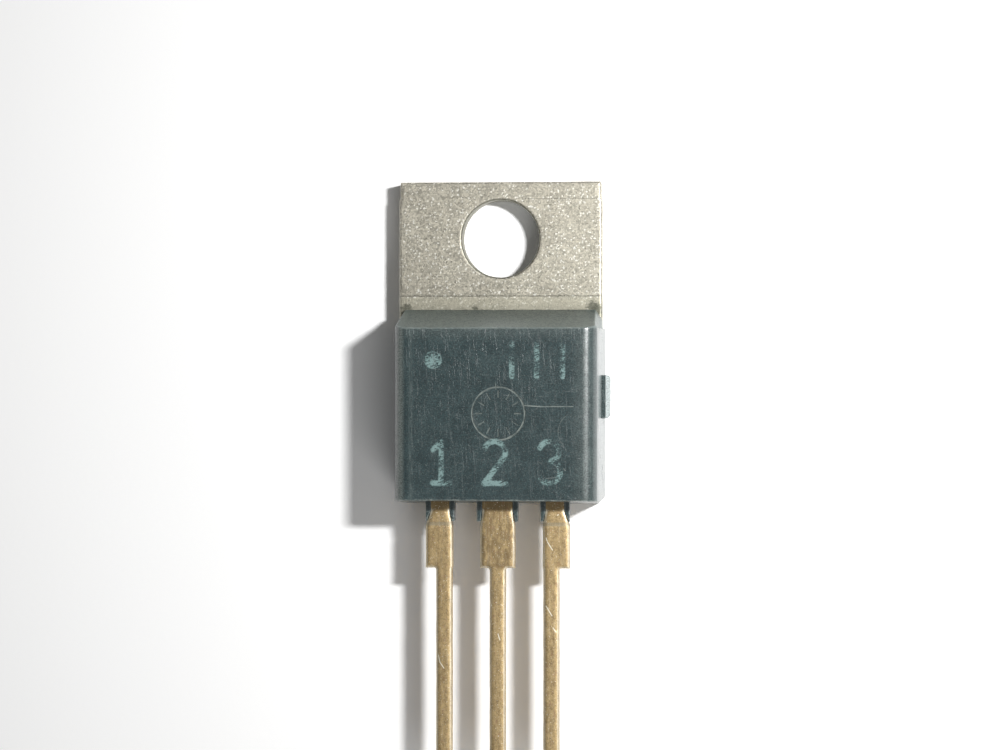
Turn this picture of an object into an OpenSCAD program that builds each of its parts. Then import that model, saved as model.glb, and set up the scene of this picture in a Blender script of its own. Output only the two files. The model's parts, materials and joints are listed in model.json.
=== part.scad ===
// Power transistor in a three-lead plastic package with a bolt-down metal tab.
// The origin is the centre of the mounting hole on the mounting face, the back of the tab.
// +Z comes out of the front face, +Y runs to the top of the tab, the leads run to -Y.

/* [Tab] */
// Width of the tab
tab_w = 9.72; // [9.2:0.01:10.2]
// Thickness of the tab
tab_t = 1.27; // [1.15:0.01:1.4]
// Hole centre to the top edge of the tab
hole_to_top = 2.71; // [2.4:0.01:3.3]
// Diameter of the mounting hole
hole_d = 3.71; // [3.2:0.01:4.1]
// Rounding that the punch leaves on the front edges and round the hole
tab_roll_r = 0.1; // [0.04:0.01:0.2]
// Hole centre to the line where the narrower top strip begins
hole_to_strip = 1.9; // [1.4:0.01:2.1]
// How much the top strip steps in on each side
strip_step = 0.05; // [0.02:0.01:0.15]
// How much the tab steps in on each side to the chip pad, its part under the plastic
pad_step = 0.52; // [0.3:0.01:0.8]
// How far the tab keeps its full width under the plastic
tab_cover = 0.9; // [0.7:0.05:1.3]
// Depth of the locking notch in each side of the pad
notch_depth = 0.45; // [0.2:0.05:0.8]
// Length of the locking notches
notch_len = 1; // [0.6:0.05:1.4]

/* [Body] */
// How far the plastic stands out past the tab on each side, at its back
overhang = 0.135; // [0.1:0.005:0.3]
// Height of the front face over the mounting face
body_h = 4.43; // [4.2:0.01:4.8]
// Hole centre to the plastic where it starts on the tab
hole_to_body = 3.39; // [3.1:0.01:3.7]
// Length of the body at its back
body_len = 9.36; // [9.1:0.01:9.8]
// How far the front face starts behind the edge on the tab
top_slope_run = 0.9; // [0.5:0.05:1.4]
// Draft of the two long sides
side_draft = 3.8; // [2:0.1:6]
// Draft of the lead end
end_draft = 5.2; // [2:0.1:7]
// Rounding of the two long edges of the front face
long_edge_r = 0.68; // [0.3:0.01:0.8]
// Width of the corner chamfers across the body
chamfer_w = 0.34; // [0.15:0.01:0.45]
// Length of the corner chamfers at the tab end
top_chamfer_len = 0.54; // [0.2:0.01:0.7]
// Length of the corner chamfers at the lead end
end_chamfer_len = 0.36; // [0.2:0.01:0.5]
// Lean of the corner chamfers at the tab end
top_chamfer_lean = 7; // [4:0.5:10]
// Lean of the corner chamfers at the lead end, which run out towards the front face
end_chamfer_lean = 1; // [0:0.5:7]
// How far the plastic stands back from the mounting face
back_recess = 0.05; // [0.02:0.01:0.1]
// How far the broken gate stands out of the right side
gate_out = 0.36; // [0.15:0.01:0.6]
// Length of the gate along the body
gate_len = 2.08; // [1.2:0.01:3]
// Height of the gate
gate_h = 0.55; // [0.3:0.01:0.8]
// Rounding of the two ends of the gate
gate_r = 0.22; // [0.1:0.01:0.3]
// Tab end of the body to the middle of the gate
gate_place = 4.17; // [3:0.01:5.5]

/* [Ejector mark] */
// Radius of the round mark in the front face
ring_r = 1.23; // [0.8:0.01:1.5]
// Width of the groove round the mark
groove_w = 0.07; // [0.04:0.01:0.15]
// Depth of the groove
groove_d = 0.04; // [0.02:0.01:0.1]
// Sideways place of the mark
ring_x = 0.17; // [-0.5:0.01:0.5]
// Tab end of the body to the middle of the mark
ring_place = 4.89; // [4.4:0.01:5.6]
// Number of radial ticks inside the mark
tick_count = 12; // [6:1:16]
// Length of a radial tick
tick_len = 0.36; // [0.2:0.01:0.5]

/* [Leads] */
// Distance between leads
lead_pitch = 2.54; // [2.4:0.01:2.7]
// Thickness of the leads
lead_t = 0.5; // [0.4:0.01:0.6]
// Height of the front of the leads over the mounting face
lead_top = 2.9; // [2.8:0.01:3.1]
// Width of the narrow part of every lead
lead_w = 0.75; // [0.64:0.01:0.78]
// Rounding on the front edges of the leads
lead_roll_r = 0.08; // [0.03:0.01:0.15]
// Length of the leads outside the plastic
lead_len = 13.4; // [10:0.1:15]
// Plastic to the shoulder where the leads turn narrow
shoulder_len = 3.14; // [2.6:0.01:3.8]
// Rounding in the corner of a shoulder
shoulder_r = 0.12; // [0.05:0.01:0.2]
// Plastic to where the neck starts to flare
neck_len = 0.42; // [0.2:0.01:0.8]
// Length of the flare from neck to shoulder width
flare_len = 0.7; // [0.3:0.01:1]
// Outer lead, how far the shoulder stands out on the inner side
shoulder_in = 0.025; // [0.01:0.005:0.2]
// Outer lead, how far the shoulder stands out on the outer side
shoulder_out = 0.495; // [0.3:0.005:0.7]
// Outer lead, how much the neck is narrower than the shoulder on the inner side
flare_in = 0.15; // [0.05:0.01:0.2]
// Outer lead, how much the neck is narrower than the shoulder on the outer side
flare_out = 0.26; // [0.1:0.01:0.35]
// Middle lead, how far each shoulder stands out
mid_shoulder = 0.445; // [0.3:0.005:0.6]
// Middle lead, how much the neck is narrower than the shoulder on each side
mid_flare = 0.11; // [0.05:0.01:0.2]
// Length of the plastic flash beside the necks
flash_len = 0.95; // [0.4:0.01:1]
// Width of the flash on each side of a neck
flash_w = 0.27; // [0.1:0.01:0.35]
// How far the flash lies below the front of the leads
flash_drop = 0.02; // [0.01:0.01:0.1]

/* [Inside] */
// Side of the square chip
die_w = 3; // [2:0.1:3.3]
// Thickness of the chip
die_t = 0.25; // [0.15:0.01:0.4]
// Foot of the middle lead to the chip
die_gap = 0.56; // [0.4:0.01:0.8]
// Thickness of the solder under the chip and under the foot
solder_t = 0.05; // [0.03:0.01:0.1]
// How far the solder stands out around the chip and the foot
solder_margin = 0.1; // [0.03:0.01:0.15]
// Plastic round the middle lead before it bends down
bend_cover = 0.46; // [0.3:0.01:0.7]
// Length of the foot of the middle lead
foot_len = 1.1; // [0.8:0.05:1.3]
// Foot of the middle lead to the end of the chip pad
foot_inset = 0.25; // [0.2:0.01:0.4]
// Width of the bond pad on the outer leads
bond_pad_w = 2.3; // [1.8:0.05:2.6]
// Length of the bond pad on the outer leads
bond_pad_len = 1.6; // [1.2:0.05:1.8]
// Plastic round the neck before the bond pad starts
bond_pad_cover = 0.6; // [0.4:0.05:0.8]
// Diameter of the locking hole in each bond pad
lock_hole_d = 0.5; // [0.3:0.05:0.6]
// Start of a bond pad to the middle of its locking hole
lock_hole_in = 0.55; // [0.45:0.05:0.7]
// Bond on a bond pad to the edge that faces the chip
bond_inset = 0.42; // [0.35:0.01:0.5]
// How far a bond lies off the middle of its bond pad, towards the middle lead
bond_aside = 0.23; // [0:0.01:0.4]
// Base bond to the left side of the chip
base_bond_side = 0.66; // [0.4:0.01:0.9]
// Base bond to the end of the chip that faces the leads
base_bond_end = 0.6; // [0.4:0.01:0.9]
// Emitter bond to the right side of the chip
emitter_bond_side = 0.84; // [0.4:0.01:0.9]
// Emitter bond to the end of the chip that faces the leads
emitter_bond_end = 1.14; // [0.5:0.01:1.3]
// Diameter of the base wire
base_wire_d = 0.2; // [0.12:0.01:0.25]
// Diameter of the emitter wire
emitter_wire_d = 0.38; // [0.25:0.01:0.4]
// Length of the pressed end of a wire
bond_len = 0.5; // [0.35:0.01:0.6]
// Steepness of a wire where it leaves the chip
wire_rise = 78; // [72:1:84]

/* [Hidden] */
$fn = 96;

// How far a cutter runs past the surface that it cuts
past = 1;

// Levels over the mounting face
lead_under = lead_top - lead_t;
solder_top = tab_t + solder_t;
die_top = solder_top + die_t;

// Ends of the body, at its back and at the level of the leads
body_top_y = -hole_to_body;
body_end_y = body_top_y - body_len;
end_slope = tan(end_draft);
lead_exit_y = body_end_y + lead_top * end_slope;

// Width of the body at its back, and half its width where the tab's front face meets its sides
body_w = tab_w + 2 * overhang;
parting_x = body_w / 2 - tab_t * tan(side_draft);

// Places along the leads
neck_end_y = lead_exit_y - neck_len;
shoulder_y = lead_exit_y - shoulder_len;
tip_y = lead_exit_y - lead_len;
bond_pad_y = lead_exit_y + bond_pad_cover;
bond_pad_top_y = bond_pad_y + bond_pad_len;

// Edges of the shoulders and the necks, from the middle of the lead
wide_in = lead_w / 2 + shoulder_in;
wide_out = lead_w / 2 + shoulder_out;
neck_in = wide_in - flare_in;
neck_out = wide_out - flare_out;
mid_wide = lead_w / 2 + mid_shoulder;
mid_neck = mid_wide - mid_flare;

// The middle lead drops to its foot in two equal quarter bends
bend_r = (lead_under - solder_top) / 2;
bend_y = lead_exit_y + bend_cover;
foot_y = bend_y + 2 * bend_r;

// Ends of the tab's full width and of the chip pad
tab_shoulder_y = body_top_y - tab_cover;
pad_end_y = foot_y - foot_inset;

// Where the wires are bonded, on the chip and on the bond pads
die_y = foot_y + foot_len + die_gap + die_w / 2;
die_end_y = die_y - die_w / 2;
base_spot = [base_bond_side - die_w / 2, die_end_y + base_bond_end];
emitter_spot = [die_w / 2 - emitter_bond_side, die_end_y + emitter_bond_end];
bond_x = lead_pitch - bond_aside;
bond_y = bond_pad_top_y - bond_inset;
// Height of a pressed wire's middle over what it is pressed on, as a share of its radius
pressed = 0.6;

// Quarter-round cutter for an edge that runs along +X and faces +Y and +Z
module edge_cutter(length, r) {
    rotate([90, 0, 90]) linear_extrude(length) translate([-r, -r]) difference() {
        square(r + past);
        circle(r);
    }
}

// The same for an edge that runs down -Y from a point and faces +X and +Z
module side_cutter(x, y, z, length, r) {
    translate([x, y, z]) rotate(-90) edge_cutter(length, r);
}

// Runs its child as it is and mirrored to the left side
module both_sides() {
    children();
    mirror([1, 0, 0]) children();
}

// The points of the right half of an outline, followed by their mirror images
function whole(half) = concat(half, [for (i = [len(half) - 1:-1:0]) [-half[i][0], half[i][1]]]);

// Outline of the tab and of the chip pad
module tab_outline() {
    half = tab_w / 2;
    strip = half - strip_step;
    pad = half - pad_step;
    neck = pad - notch_depth;
    notch_y = tab_shoulder_y - notch_len;
    polygon(whole([
        [strip, hole_to_top],
        [strip, hole_to_strip],
        [half, hole_to_strip],
        [half, tab_shoulder_y],
        [neck, tab_shoulder_y],
        [neck, notch_y],
        [pad, notch_y],
        [pad, pad_end_y]
    ]));
}

// Rolled rim of the mounting hole
module hole_rim_cutter() {
    rotate_extrude() difference() {
        translate([0, -tab_roll_r]) square([hole_d / 2 + tab_roll_r, tab_roll_r + past]);
        translate([hole_d / 2 + tab_roll_r, -tab_roll_r]) circle(tab_roll_r);
    }
}

module heat_sink_tab() {
    half = tab_w / 2;
    strip_len = hole_to_top - hole_to_strip;
    color("#b4ad9e") difference() {
        linear_extrude(tab_t) tab_outline();
        translate([0, 0, -past]) cylinder(d = hole_d, h = tab_t + 2 * past);
        translate([0, 0, tab_t]) hole_rim_cutter();
        translate([-half, hole_to_top, tab_t]) edge_cutter(tab_w, tab_roll_r);
        both_sides() {
            side_cutter(half, hole_to_strip, tab_t, hole_to_strip - tab_shoulder_y, tab_roll_r);
            side_cutter(half - strip_step, hole_to_top, tab_t, strip_len, tab_roll_r);
        }
    }
}

// Long section of the body, swept across its width
module body_long_section() {
    rotate([90, 0, 90]) linear_extrude(body_w + 2 * past, center = true) polygon([
        [body_top_y, back_recess],
        [body_top_y, tab_t],
        [body_top_y - top_slope_run, body_h],
        [body_end_y + body_h * end_slope, body_h],
        [body_end_y + back_recess * end_slope, back_recess]
    ]);
}

// Cross section of the body with its drafted sides and rounded long edges, swept along it
module body_cross_section() {
    arc_z = body_h - long_edge_r;
    arc_x = body_w / 2 - arc_z * tan(side_draft) - long_edge_r / cos(side_draft);
    touch_x = arc_x + long_edge_r * cos(side_draft);
    touch_z = arc_z + long_edge_r * sin(side_draft);
    translate([0, body_top_y + past, 0]) rotate([90, 0, 0])
        linear_extrude(body_len + 2 * past) {
            polygon(whole([[body_w / 2, 0], [touch_x, touch_z], [arc_x, body_h]]));
            both_sides() translate([arc_x, arc_z]) circle(long_edge_r);
        }
}

// Cutter for a corner chamfer; the corner is at the origin and faces +X and +Y
module chamfer_cutter(length, lean) {
    reach = 2 * body_h;
    translate([-chamfer_w, 0, 0]) rotate(-atan2(length, chamfer_w)) rotate([lean, 0, 0])
        translate([-reach / 2, 0, -reach]) cube([reach, past, 2 * reach]);
}

// The gate, broken off rough, seen from the front as a bar with round ends
module gate() {
    inside = 0.5;
    translate([parting_x - inside, body_top_y - gate_place, tab_t - gate_h])
        linear_extrude(gate_h) {
            translate([0, -gate_len / 2]) square([inside + gate_out - gate_r, gate_len]);
            translate([0, gate_r - gate_len / 2])
                square([inside + gate_out, gate_len - 2 * gate_r]);
            for (end = [-1, 1])
                translate([inside + gate_out - gate_r, end * (gate_len / 2 - gate_r)])
                    circle(gate_r);
        }
}

// Plastic flash that filled the lead frame beside a neck, from its left to its right edge
module flash(left, right) {
    inside = 0.3;
    translate([left - flash_w, lead_exit_y - flash_len, lead_under])
        cube([right - left + 2 * flash_w, flash_len + inside, lead_t - flash_drop]);
}

// Grooves of the ejector mark, cut into the front face
module ejector_mark() {
    translate([ring_x, body_top_y - ring_place, body_h - groove_d]) {
        difference() {
            cylinder(r = ring_r + groove_w / 2, h = groove_d + past);
            translate([0, 0, -past])
                cylinder(r = ring_r - groove_w / 2, h = groove_d + 3 * past);
        }
        for (i = [0:tick_count - 1]) rotate(360 * i / tick_count)
            translate([ring_r - 2 * groove_w - tick_len, -groove_w / 2, 0])
                cube([tick_len, groove_w, groove_d + past]);
    }
}

// The body before its inner pieces are taken out of it
module body_form() {
    outer = lead_pitch;
    difference() {
        intersection() {
            body_long_section();
            body_cross_section();
        }
        both_sides() {
            translate([parting_x, body_top_y, tab_t])
                chamfer_cutter(top_chamfer_len, top_chamfer_lean);
            translate([body_w / 2, body_end_y, 0]) mirror([0, 1, 0])
                chamfer_cutter(end_chamfer_len, end_chamfer_lean);
        }
        // The plastic leaves the tab's edges free before the tab narrows
        translate([-body_w, tab_shoulder_y, -past]) cube([2 * body_w, body_len, tab_t + past]);
        ejector_mark();
    }
    gate();
    both_sides() flash(outer - neck_in, outer + neck_out);
    flash(-mid_neck, mid_neck);
}

module moulded_body() {
    color("#3c4a4f") difference() {
        body_form();
        heat_sink_tab();
        base_lead();
        collector_lead();
        emitter_lead();
        silicon_die();
        die_solder();
        collector_solder();
        base_bond_wire();
        emitter_bond_wire();
    }
}

// Outline of the outside of a lead, from its tip to a level inside the plastic
module lead_outline(wide_left, wide_right, neck_left, neck_right, top_y) {
    half = lead_w / 2;
    flare_y = neck_end_y - flare_len;
    polygon([
        [-half, tip_y],
        [half, tip_y],
        [half, shoulder_y],
        [wide_right, shoulder_y],
        [wide_right, flare_y],
        [neck_right, neck_end_y],
        [neck_right, top_y],
        [neck_left, top_y],
        [neck_left, neck_end_y],
        [wide_left, flare_y],
        [wide_left, shoulder_y],
        [-half, shoulder_y]
    ]);
    shoulder_fillet(wide_right - half);
    mirror([1, 0, 0]) shoulder_fillet(-wide_left - half);
}

// Rounding in the corner under a shoulder, no wider than the shoulder itself
module shoulder_fillet(width) {
    r = min(shoulder_r, width);
    translate([lead_w / 2, shoulder_y - r]) difference() {
        square(r);
        translate([r, 0]) circle(r);
    }
}

// Rolled front edges of a lead, on its narrow part and along its shoulders
module lead_roll_cutters(wide_left, wide_right) {
    shoulder_top_y = neck_end_y - flare_len;
    wide_len = shoulder_top_y - shoulder_y;
    narrow_top_y = shoulder_y - shoulder_r;
    both_sides() side_cutter(lead_w / 2, narrow_top_y, lead_top, narrow_top_y - tip_y, lead_roll_r);
    side_cutter(wide_right, shoulder_top_y, lead_top, wide_len, lead_roll_r);
    mirror([1, 0, 0]) side_cutter(-wide_left, shoulder_top_y, lead_top, wide_len, lead_roll_r);
}

// Outer lead on the right side, with its bond pad
module outer_lead() {
    translate([lead_pitch, 0, 0]) difference() {
        translate([0, 0, lead_under]) linear_extrude(lead_t)
            lead_outline(-wide_in, wide_out, -neck_in, neck_out, bond_pad_y);
        lead_roll_cutters(-wide_in, wide_out);
    }
    difference() {
        translate([lead_pitch - bond_pad_w / 2, bond_pad_y, lead_under])
            cube([bond_pad_w, bond_pad_len, lead_t]);
        translate([lead_pitch, bond_pad_y + lock_hole_in, lead_under - past])
            cylinder(d = lock_hole_d, h = lead_t + 2 * past);
    }
}

module base_lead() {
    color("#a8935f") mirror([1, 0, 0]) outer_lead();
}

module emitter_lead() {
    color("#a8935f") outer_lead();
}

// A quarter of a flat ring in the corner that faces +X and +Y
module quarter_ring() {
    intersection() {
        difference() {
            circle(bend_r + lead_t / 2);
            circle(bend_r - lead_t / 2);
        }
        square(2 * bend_r);
    }
}

// Side view of the bends and the foot of the middle lead, drawn in Y and Z
module bend_and_foot() {
    bend_z = lead_under + lead_t / 2 - bend_r;
    rotate([90, 0, 90]) linear_extrude(2 * mid_neck, center = true) {
        translate([bend_y, bend_z]) quarter_ring();
        translate([foot_y, bend_z]) rotate(180) quarter_ring();
        translate([foot_y, solder_top]) square([foot_len, lead_t]);
    }
}

module collector_lead() {
    color("#a8935f") {
        difference() {
            translate([0, 0, lead_under]) linear_extrude(lead_t)
                lead_outline(-mid_wide, mid_wide, -mid_neck, mid_neck, bend_y);
            lead_roll_cutters(-mid_wide, mid_wide);
        }
        bend_and_foot();
    }
}

module silicon_die() {
    color("#5a5f6a") translate([-die_w / 2, die_y - die_w / 2, solder_top])
        cube([die_w, die_w, die_t]);
}

module die_solder() {
    side = die_w + 2 * solder_margin;
    color("#8f9296") translate([-side / 2, die_y - side / 2, tab_t]) cube([side, side, solder_t]);
}

module collector_solder() {
    width = 2 * (mid_neck + solder_margin);
    length = foot_len + 2 * solder_margin;
    color("#8f9296") translate([-width / 2, foot_y - solder_margin, tab_t])
        cube([width, length, solder_t]);
}

// A pressed wire end that lies along X on the level z = 0
module pressed_end(r) {
    intersection() {
        translate([-bond_len / 2, 0, pressed * r]) rotate([0, 90, 0]) cylinder(r = r, h = bond_len);
        translate([-bond_len, -r, 0]) cube([2 * bond_len, 2 * r, 2 * r]);
    }
}

// A wire from the chip to a bond pad, in one round bend that leaves the chip at wire_rise
module bond_wire(start, end, r) {
    run = norm(end - start);
    rise = lead_top - die_top;
    turn = wire_rise - atan2(rise, run);
    arc_r = norm([run, rise]) / (2 * sin(turn));
    direction = atan2(end[1] - start[1], end[0] - start[0]);
    translate([start[0], start[1], die_top]) rotate(direction) {
        translate([arc_r * sin(wire_rise), 0, pressed * r - arc_r * cos(wire_rise)])
            rotate([90, 0, 0]) rotate(90 + wire_rise - 2 * turn)
                rotate_extrude(angle = 2 * turn) translate([arc_r, 0]) circle(r);
        pressed_end(r);
        translate([run, 0, rise]) pressed_end(r);
    }
}

module base_bond_wire() {
    color("#c9ccd0") difference() {
        bond_wire(base_spot, [-bond_x, bond_y], base_wire_d / 2);
        base_lead();
    }
}

module emitter_bond_wire() {
    color("#c9ccd0") difference() {
        bond_wire(emitter_spot, [bond_x, bond_y], emitter_wire_d / 2);
        emitter_lead();
    }
}

heat_sink_tab();
moulded_body();
base_lead();
collector_lead();
emitter_lead();
silicon_die();
die_solder();
collector_solder();
base_bond_wire();
emitter_bond_wire();
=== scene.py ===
"""Looks of a three-lead power transistor, built round its packed construction model.

Sizes and places are in millimetres in the part's own frame, unless a name says otherwise. The origin
is the centre of the mounting hole on the mounting face, +Z comes out of the front face, +Y runs to
the top edge of the tab, and the leads run to -Y.
"""

import json
import logging
import math
from dataclasses import dataclass, field
from enum import Enum
from functools import cached_property

import bmesh
import bpy
from mathutils import Matrix, Vector, noise
from mathutils.kdtree import KDTree


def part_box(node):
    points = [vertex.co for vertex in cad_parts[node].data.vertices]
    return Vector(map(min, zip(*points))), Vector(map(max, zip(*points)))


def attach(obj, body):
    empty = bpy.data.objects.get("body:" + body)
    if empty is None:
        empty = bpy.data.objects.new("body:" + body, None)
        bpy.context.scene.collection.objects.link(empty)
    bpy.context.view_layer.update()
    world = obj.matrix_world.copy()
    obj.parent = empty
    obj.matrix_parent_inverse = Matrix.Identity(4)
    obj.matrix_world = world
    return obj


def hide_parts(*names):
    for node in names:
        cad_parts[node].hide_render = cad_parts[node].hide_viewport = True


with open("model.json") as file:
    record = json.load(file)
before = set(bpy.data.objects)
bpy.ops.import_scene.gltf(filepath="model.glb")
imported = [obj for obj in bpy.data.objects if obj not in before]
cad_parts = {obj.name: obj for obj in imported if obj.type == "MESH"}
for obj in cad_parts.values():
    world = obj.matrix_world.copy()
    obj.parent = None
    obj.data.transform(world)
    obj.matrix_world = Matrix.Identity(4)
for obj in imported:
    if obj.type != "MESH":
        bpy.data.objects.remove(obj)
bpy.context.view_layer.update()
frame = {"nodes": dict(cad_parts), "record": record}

MM = 0.001
PITCH = 2.54
NEAR = 0.01
BODY = "root"

Colour = tuple[float, float, float]
Point = tuple[float, float]
Place = tuple[float, float, float]
Stain = tuple[Point, float]
Socket = bpy.types.NodeSocket

WHITE = (1.0, 1.0, 1.0)

log = logging.getLogger("transistor")


class Slot(Enum):
    """Material slots of the record."""

    TAB_PLATING = "tab_plating"
    MOULDING_COMPOUND = "moulding_compound"
    LEAD_ALLOY = "lead_alloy"


class Side(Enum):
    """Which lead of the row a lead is, as a factor of the lead pitch."""

    LEFT = -1
    MIDDLE = 0
    RIGHT = 1


def mm_box(node: str) -> tuple[Vector, Vector]:
    """Gives the lowest and the highest corner of a CAD node, in millimetres."""
    low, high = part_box(node)
    return low / MM, high / MM


def held(share: float) -> float:
    """Holds a number between 0 and 1."""
    return min(1.0, max(0.0, share))


def arc(centre: Point, radius: float, start: float, end: float, steps: int) -> list[Point]:
    """Gives points along an arc from one angle to another, in degrees, with both ends among them."""
    angles = [math.radians(start + (end - start) * i / steps) for i in range(steps + 1)]
    return [(centre[0] + radius * math.cos(a), centre[1] + radius * math.sin(a)) for a in angles]


class Form:
    """A mesh in the making, in millimetres."""

    flat_angle = math.radians(0.5)
    sharp_angle = math.radians(22)
    smooth_angle = math.radians(40)
    tiny = 1e-5
    weld = 0.002

    def __init__(self) -> None:
        """Starts with an empty mesh."""
        self.mesh = bmesh.new()

    @classmethod
    def of_node(cls, node: str) -> "Form":
        """Starts from a copy of a CAD node's own mesh.

        Args:
            node: Name of the CAD node.

        Returns:
            The form, with its flat faces whole again.
        """
        form = cls()
        form.mesh.from_mesh(frame["nodes"][node].data)
        bmesh.ops.scale(form.mesh, vec=(1 / MM,) * 3, verts=form.mesh.verts)
        bmesh.ops.remove_doubles(form.mesh, verts=form.mesh.verts, dist=cls.tiny)
        form.join_flats()
        return form

    @classmethod
    def plate(cls, outline: list[Point], holes: list[list[Point]], low: float, high: float) -> "Form":
        """Makes a flat plate with holes in it.

        Args:
            outline: Points round the plate.
            holes: Points round each hole.
            low: Level of the back.
            high: Level of the front.

        Returns:
            The plate, with sharp edges.
        """
        form = cls()
        edges = []
        for loop in [outline, *holes]:
            corners = [form.mesh.verts.new((x, y, low)) for x, y in loop]
            edges += [form.mesh.edges.new((a, b)) for a, b in zip(corners, corners[1:] + corners[:1])]
        filled = bmesh.ops.triangle_fill(form.mesh, edges=edges, use_beauty=True)
        faces = [f for f in filled["geom"] if isinstance(f, bmesh.types.BMFace)]
        raised = bmesh.ops.extrude_face_region(form.mesh, geom=faces, use_keep_orig=True)
        tops = [v for v in raised["geom"] if isinstance(v, bmesh.types.BMVert)]
        bmesh.ops.translate(form.mesh, vec=(0, 0, high - low), verts=tops)
        bmesh.ops.recalc_face_normals(form.mesh, faces=form.mesh.faces)
        form.join_flats()
        return form

    def join_flats(self) -> None:
        """Joins neighbouring faces that lie in one plane."""
        bmesh.ops.dissolve_limit(
            self.mesh, angle_limit=self.flat_angle, verts=self.mesh.verts, edges=self.mesh.edges
        )

    def sharp_edges(self, chosen) -> list[bmesh.types.BMEdge]:
        """Gives the outward sharp edges whose ends are both in places that a rule picks."""
        return [
            e for e in self.mesh.edges
            if len(e.link_faces) == 2
            and e.calc_face_angle_signed(0) > self.sharp_angle
            and all(chosen(v.co) for v in e.verts)
        ]

    def round_edges(self, edges: list[bmesh.types.BMEdge], radius: float, steps: int) -> None:
        """Rounds edges over a width on each of their faces, with some steps across."""
        bmesh.ops.bevel(
            self.mesh, geom=edges, offset=radius, offset_type="OFFSET", segments=steps, profile=0.5,
            affect="EDGES", clamp_overlap=False, loop_slide=False,
        )
        bmesh.ops.remove_doubles(self.mesh, verts=self.mesh.verts, dist=self.weld)

    def cut(self, axis: int, place: float) -> None:
        """Cuts all faces along one plane, with nothing taken away.

        Args:
            axis: 0, 1 or 2 for a plane across X, Y or Z.
            place: Where the plane crosses that axis.
        """
        across = Vector((0, 0, 0))
        across[axis] = 1
        everything = self.mesh.verts[:] + self.mesh.edges[:] + self.mesh.faces[:]
        bmesh.ops.bisect_plane(
            self.mesh, geom=everything, dist=self.tiny, plane_co=across * place, plane_no=across
        )

    def dice(self, step: float) -> None:
        """Cuts all faces into small ones, which can then follow wear and unevenness.

        Args:
            step: Distance from one cut to the next.
        """
        for axis in range(3):
            places = [v.co[axis] for v in self.mesh.verts]
            low, high = min(places), max(places)
            count = math.ceil((high - low) / step)
            for i in range(1, count):
                self.cut(axis, low + (high - low) * i / count)
        bmesh.ops.dissolve_degenerate(self.mesh, dist=10 * self.tiny, edges=self.mesh.edges)

    def move(self, shift) -> None:
        """Moves each vertex.

        Args:
            shift: Rule that takes a place and the outward direction and gives the way to move.
        """
        self.mesh.normal_update()
        moves = [(v, shift(v.co.copy(), v.normal.copy())) for v in self.mesh.verts]
        for vertex, way in moves:
            vertex.co += way

    def mark(self, name: str, rule) -> None:
        """Writes a number at each vertex, for the finish to read.

        Args:
            name: Name of the layer of numbers.
            rule: Rule that takes a vertex's place and gives its number.
        """
        layer = self.mesh.verts.layers.float.new(name)
        for vertex in self.mesh.verts:
            vertex[layer] = rule(vertex.co)

    def shown(self, name: str) -> bpy.types.Object:
        """Turns the form into a Blender object.

        Args:
            name: Name of the piece.

        Returns:
            The object, in metres.
        """
        data = bpy.data.meshes.new(name)
        bmesh.ops.recalc_face_normals(self.mesh, faces=self.mesh.faces)
        for face in self.mesh.faces:
            face.smooth = True
        for edge in self.mesh.edges:
            edge.smooth = edge.calc_face_angle(0.0) < self.smooth_angle
        self.mesh.to_mesh(data)
        self.mesh.free()
        data.transform(Matrix.Scale(MM, 4))
        piece = bpy.data.objects.new(name, data)
        bpy.context.scene.collection.objects.link(piece)
        return piece


class EdgeMap:
    """Remembers where the sharp edges of a form run, as close points, for the wear along them."""

    step = 0.05

    def __init__(self, edges: list[bmesh.types.BMEdge]) -> None:
        """Takes the edges in.

        Args:
            edges: The edges, before they are rounded.
        """
        points = []
        for edge in edges:
            a, b = (v.co.copy() for v in edge.verts)
            count = max(1, math.ceil((b - a).length / self.step))
            points += [a.lerp(b, i / count) for i in range(count + 1)]
        self.tree = KDTree(len(points))
        for i, point in enumerate(points):
            self.tree.insert(point, i)
        self.tree.balance()

    def distance(self, place: Vector) -> float:
        """Gives the distance from a place to the nearest sharp edge."""
        return self.tree.find(place)[2]


@dataclass(frozen=True)
class Unevenness:
    """Slow waves over a surface and small nicks along its edges."""

    wave: float = 0.004
    wave_size: float = 0.9
    nick: float = 0.02
    nick_size: float = 0.22
    nick_reach: float = 0.12
    nick_base: float = 0.1
    floor_reach: float = 0.005
    seed: float = 0.0

    def rule(self, edges: EdgeMap):
        """Gives the rule that moves a vertex.

        Args:
            edges: Where the sharp edges run.

        Returns:
            A rule for Form.move, which moves waves both ways and nicks inward only, and leaves what
            rests on the floor flat.
        """
        offset = Vector((self.seed, 2 * self.seed, 3 * self.seed))

        def shift(place: Vector, outward: Vector) -> Vector:
            if place.z < self.floor_reach:
                return Vector()
            height = self.wave * noise.noise(place / self.wave_size + offset)
            near = held(1 - edges.distance(place) / self.nick_reach)
            if near > 0:
                chip = max(0.0, noise.noise(place / self.nick_size + offset) + self.nick_base)
                height -= self.nick * near * chip
            return outward * height

        return shift


@dataclass(frozen=True)
class Clouds:
    """A cloudy noise, and the span over which it becomes a share of the surface."""

    size: Place | float
    detail: float = 3.0
    seed: float = 0.0
    span: Point = (0.3, 0.7)
    share: float = 1.0
    turn: float = 0.0


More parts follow.
